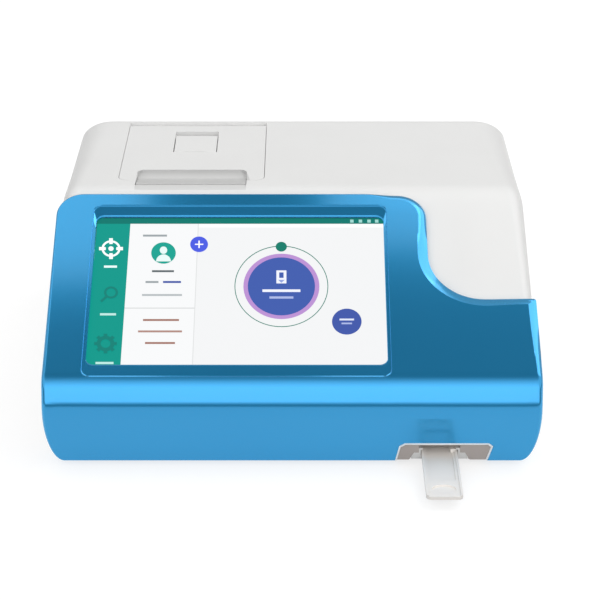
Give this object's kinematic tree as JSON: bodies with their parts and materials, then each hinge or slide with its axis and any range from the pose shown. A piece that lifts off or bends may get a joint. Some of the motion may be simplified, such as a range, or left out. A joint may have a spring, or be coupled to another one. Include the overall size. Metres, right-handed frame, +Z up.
{
  "type": "immunofluorescence analyzer",
  "caption": "Benchtop fluorescence test reader: two-part white casing, blue front cover with a tilted touch screen, sliding card tray at the lower right, and a lidded thermal printer on top.",
  "frame": {"origin": "centre of the object's box, on the plane that the rubber feet stand on", "axes": "+Z up, -Y towards the user through the front cover, +X to the user's right"},
  "size_m": [0.261, 0.283, 0.1075],
  "materials": {
    "blue_gloss": "glossy pearl blue moulding",
    "white_plastic": "satin white moulding",
    "grey_plastic": "warm grey moulding",
    "tray_plastic": "light grey moulding",
    "dark_plastic": "black moulding",
    "screen_glass": "touch panel over a lit display",
    "steel": "plated steel",
    "brass": "turned brass",
    "rubber": "black rubber",
    "board": "green circuit board",
    "aluminium": "plain aluminium",
    "optic": "clear optical glass",
    "paper": "thermal paper roll",
    "nylon": "natural nylon"
  },
  "bodies": {
    "casing": {"base_shell": "white_plastic", "upper_cover": "white_plastic", "front_cover": "blue_gloss", "touch_glass": "screen_glass", "display_panel": "steel", "display_bracket": "aluminium", "display_screw_1": "steel", "display_screw_2": "steel", "display_screw_3": "steel", "display_screw_4": "steel", "card_port_bezel": "grey_plastic", "guide_bed": "white_plastic", "motor_bracket": "steel", "tray_motor": "steel", "home_sensor": "dark_plastic", "optics_housing": "dark_plastic", "objective_lens": "optic", "emission_filter": "optic", "excitation_lamp": "optic", "heat_sink": "aluminium", "detector_board": "board", "paper_bucket": "white_plastic", "printer_frame": "steel", "print_head": "dark_plastic", "head_spring_1": "steel", "head_spring_2": "steel", "printer_motor": "steel", "tear_bar": "steel", "cover_hinge_pin": "steel", "main_board": "board", "processor_cooler": "aluminium", "rear_plate": "aluminium", "usb_ports": "steel", "lan_port": "steel", "serial_port": "steel", "power_inlet": "dark_plastic", "power_switch": "dark_plastic", "speaker": "dark_plastic", "rubber_foot_1": "rubber", "rubber_foot_2": "rubber", "rubber_foot_3": "rubber", "rubber_foot_4": "rubber", "base_screw_1": "steel", "base_screw_2": "steel", "base_screw_3": "steel", "base_screw_4": "steel"},
    "tray": {"card_tray": "tray_plastic"},
    "pinion": {"drive_pinion": "nylon"},
    "lid": {"printer_cover": "white_plastic", "tab_pin": "steel", "tab_spring": "steel"},
    "tab": {"release_tab": "white_plastic"},
    "platen": {"platen_roller": "rubber", "platen_gear": "nylon"},
    "idler": {"idler_gear": "nylon"},
    "motor_rotor": {"motor_gear": "brass"},
    "roll": {"paper_roll": "paper"},
    "rocker": {"power_rocker": "dark_plastic"}
  },
  "joints": [
    {"name": "tray_slide", "type": "slide", "parent": "casing", "child": "tray", "axis": [0, 1, 0], "range_m": [0, 0.046]},
    {"name": "pinion_spin", "type": "hinge", "parent": "casing", "child": "pinion", "pos_m": [0.09172, -0.0455, 0.006], "axis": [0, 0, 1], "range_deg": [-540, 20]},
    {"name": "lid_hinge", "type": "hinge", "parent": "casing", "child": "lid", "pos_m": [-0.0577, 0.123, 0.1004], "axis": [-1, 0, 0], "range_deg": [0, 85]},
    {"name": "tab_lift", "type": "hinge", "parent": "lid", "child": "tab", "pos_m": [-0.0577, 0.0828, 0.1043], "axis": [1, 0, 0], "range_deg": [0, 25], "stiffness_Nm_per_rad": 0.02, "springref_deg": -17.19},
    {"name": "platen_spin", "type": "hinge", "parent": "lid", "child": "platen", "pos_m": [-0.0577, 0.0371, 0.0939], "axis": [1, 0, 0], "continuous": true},
    {"name": "idler_spin", "type": "hinge", "parent": "casing", "child": "idler", "pos_m": [-0.0577, 0.0371, 0.08178], "axis": [1, 0, 0], "continuous": true},
    {"name": "motor_spin", "type": "hinge", "parent": "casing", "child": "motor_rotor", "pos_m": [-0.0577, 0.02881, 0.07598], "axis": [1, 0, 0], "continuous": true},
    {"name": "roll_spin", "type": "hinge", "parent": "casing", "child": "roll", "pos_m": [-0.0577, 0.0751, 0.0702], "axis": [1, 0, 0], "continuous": true},
    {"name": "rocker_tip", "type": "hinge", "parent": "casing", "child": "rocker", "pos_m": [-0.098, 0.1346, 0.0235], "axis": [0, 0, 1], "range_deg": [-9, 9]}
  ],
  "couplings": [
    {"joint": "pinion_spin", "follows": "tray_slide", "rad_per_m": -178.57},
    {"joint": "idler_spin", "follows": "platen_spin", "ratio": -0.71429},
    {"joint": "motor_spin", "follows": "platen_spin", "ratio": 1.6667}
  ]
}
